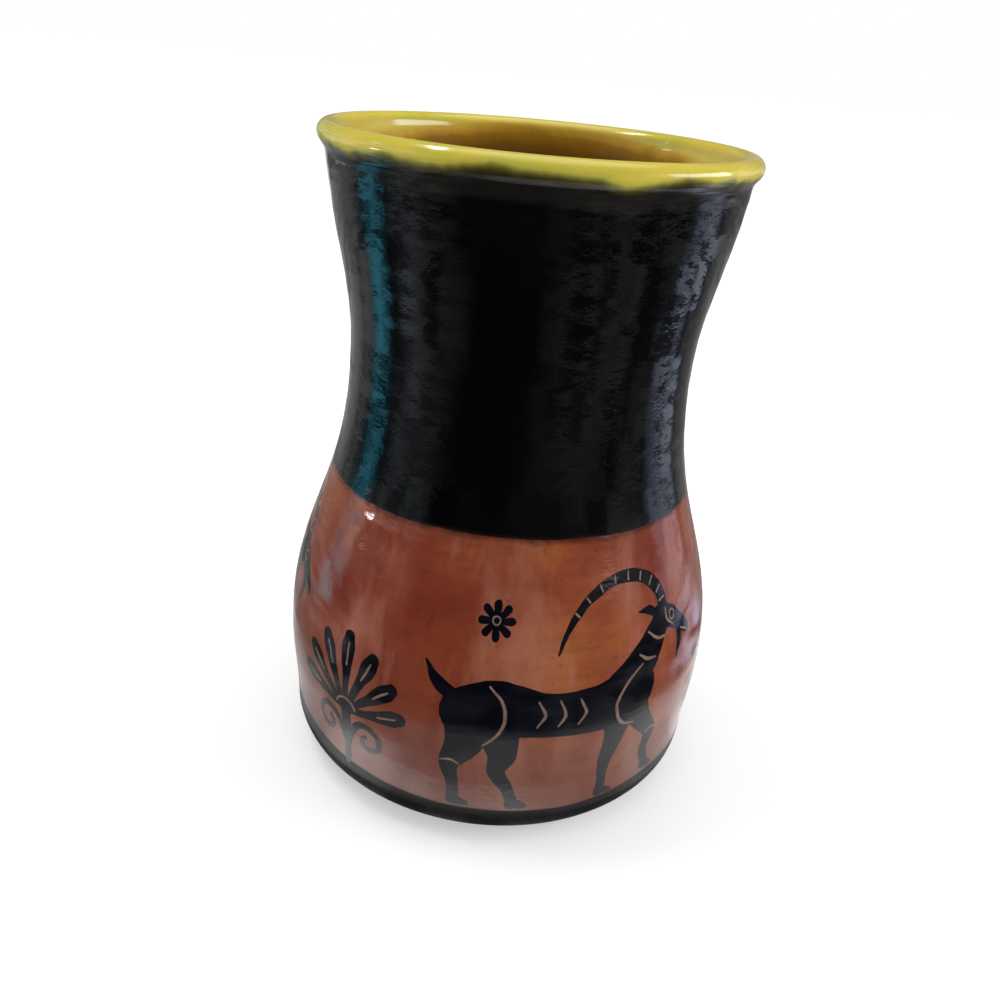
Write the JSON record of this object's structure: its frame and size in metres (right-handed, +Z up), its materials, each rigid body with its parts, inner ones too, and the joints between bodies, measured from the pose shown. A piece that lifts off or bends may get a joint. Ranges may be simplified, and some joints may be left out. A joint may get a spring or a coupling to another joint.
{
  "type": "pottery vase",
  "caption": "Thrown pottery vase with a rolled lip, flared neck and round belly, dark glaze above and a painted animal frieze below; stands on its flat base and holds flowers.",
  "frame": {"origin": "centre of the flat base, on the surface the vase stands on", "axes": "+Z up along the axis of the pot; -Y is the pictured front, +X to its right"},
  "size_m": [0.1118, 0.1117, 0.1585],
  "materials": {
    "bare_clay": "matte fired red clay, bare underside",
    "red_gloss": "glossy red-brown coat with brush streaks",
    "black_glaze": "mirror-glossy black glaze",
    "yellow_glaze": "glossy yellow glaze, amber where it lies thick",
    "black_slip": "blue-black painted slip under gloss"
  },
  "bodies": {
    "root": {"clay_body": "bare_clay", "foot_band": "black_slip", "belly_coat": "red_gloss", "neck_glaze": "black_glaze", "mouth_glaze": "yellow_glaze", "painted_ibex_1": "black_slip", "painted_palmette_1": "black_slip", "painted_rosette_1": "black_slip", "painted_ibex_2": "black_slip", "painted_palmette_2": "black_slip", "painted_rosette_2": "black_slip", "painted_ibex_3": "black_slip", "painted_palmette_3": "black_slip", "painted_rosette_3": "black_slip"}
  },
  "joints": []
}
